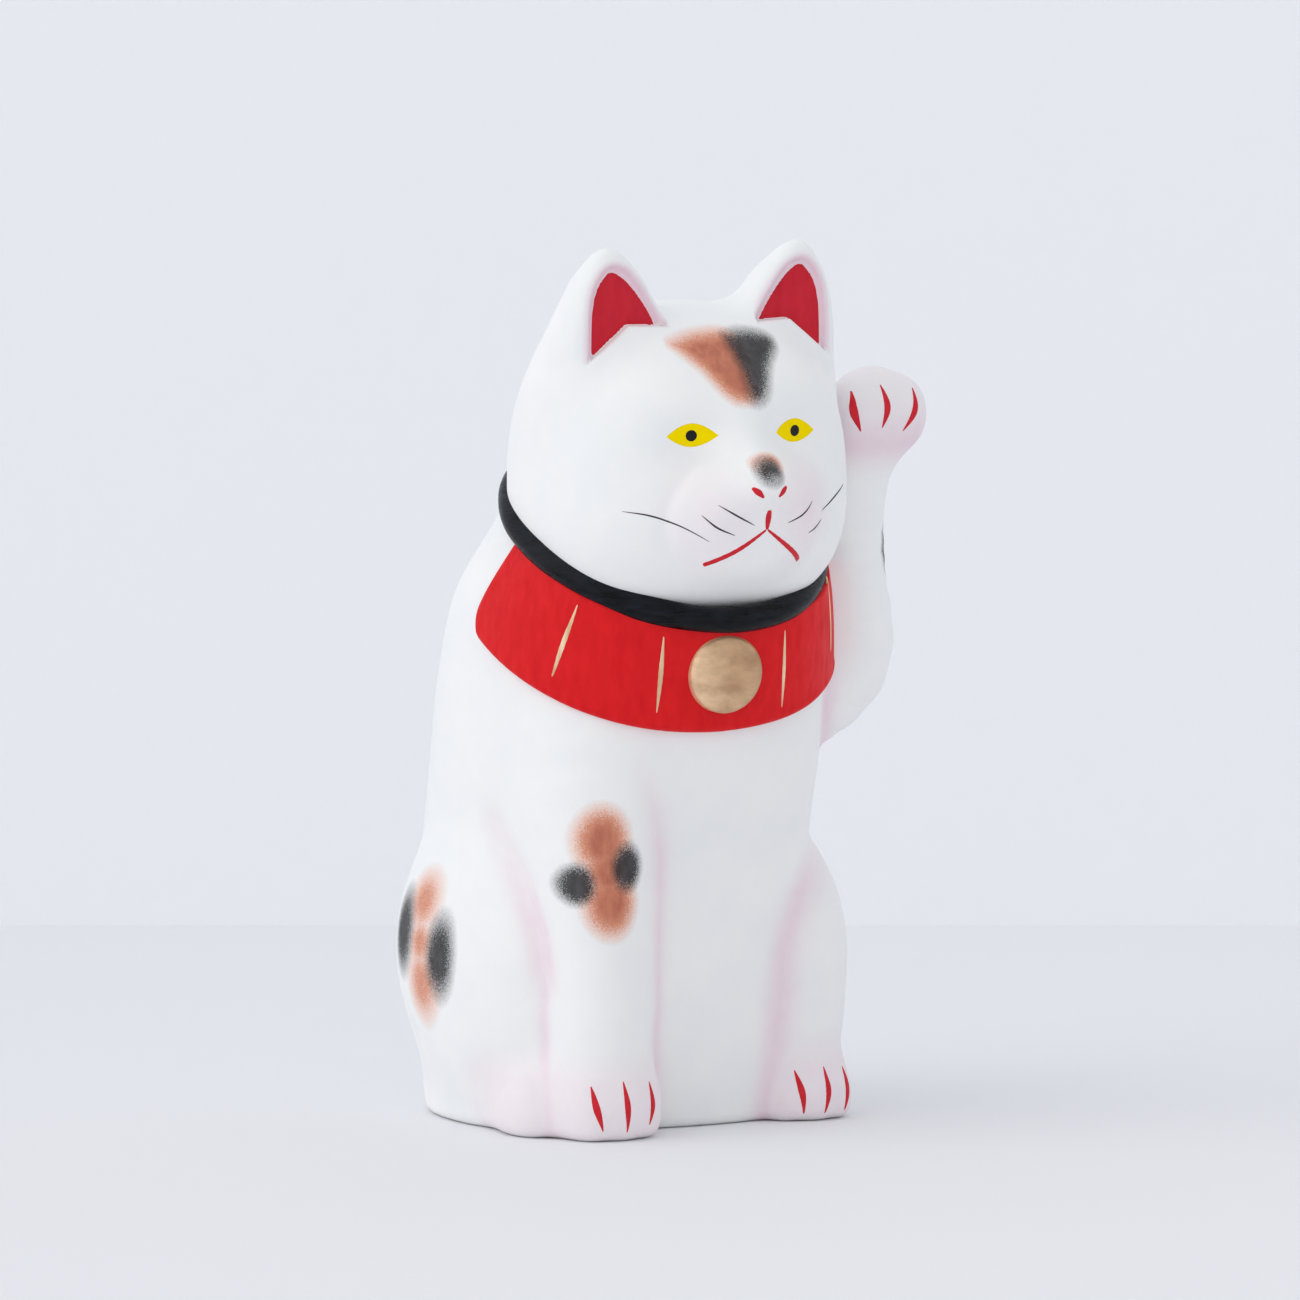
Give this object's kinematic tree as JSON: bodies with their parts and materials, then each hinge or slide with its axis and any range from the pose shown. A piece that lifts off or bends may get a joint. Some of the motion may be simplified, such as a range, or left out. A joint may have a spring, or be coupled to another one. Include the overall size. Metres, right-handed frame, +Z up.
{
  "type": "beckoning cat figurine",
  "caption": "Seated moulded-clay cat with one foreleg raised beside its head, a corded collar, a bib and a round bell, standing on a flat base",
  "frame": {"origin": "the middle of the flat base, on the surface that the figurine stands on", "axes": "+Z up; the cat faces -Y; +X is the cat's own left, the side of the raised foreleg"},
  "size_m": [0.1166, 0.1287, 0.2082],
  "materials": {
    "white_ground": "matt chalky white ground coat over fired clay",
    "bare_clay": "unpainted matt fired clay",
    "black_collar": "satin black paint with brush streaks",
    "red_bib": "matt to satin red paint",
    "gold_bell": "brushed metallic gold paint"
  },
  "bodies": {
    "root": {"torso_front_shell": "white_ground", "torso_back_shell": "white_ground", "base_plate": "bare_clay", "head_front_shell": "white_ground", "head_back_shell": "white_ground", "left_ear": "white_ground", "right_ear": "white_ground", "standing_foreleg": "white_ground", "left_hind_leg": "white_ground", "right_hind_leg": "white_ground", "raised_foreleg": "white_ground", "tail": "white_ground", "collar_cord": "black_collar", "bib": "red_bib", "bell": "gold_bell"}
  },
  "joints": []
}
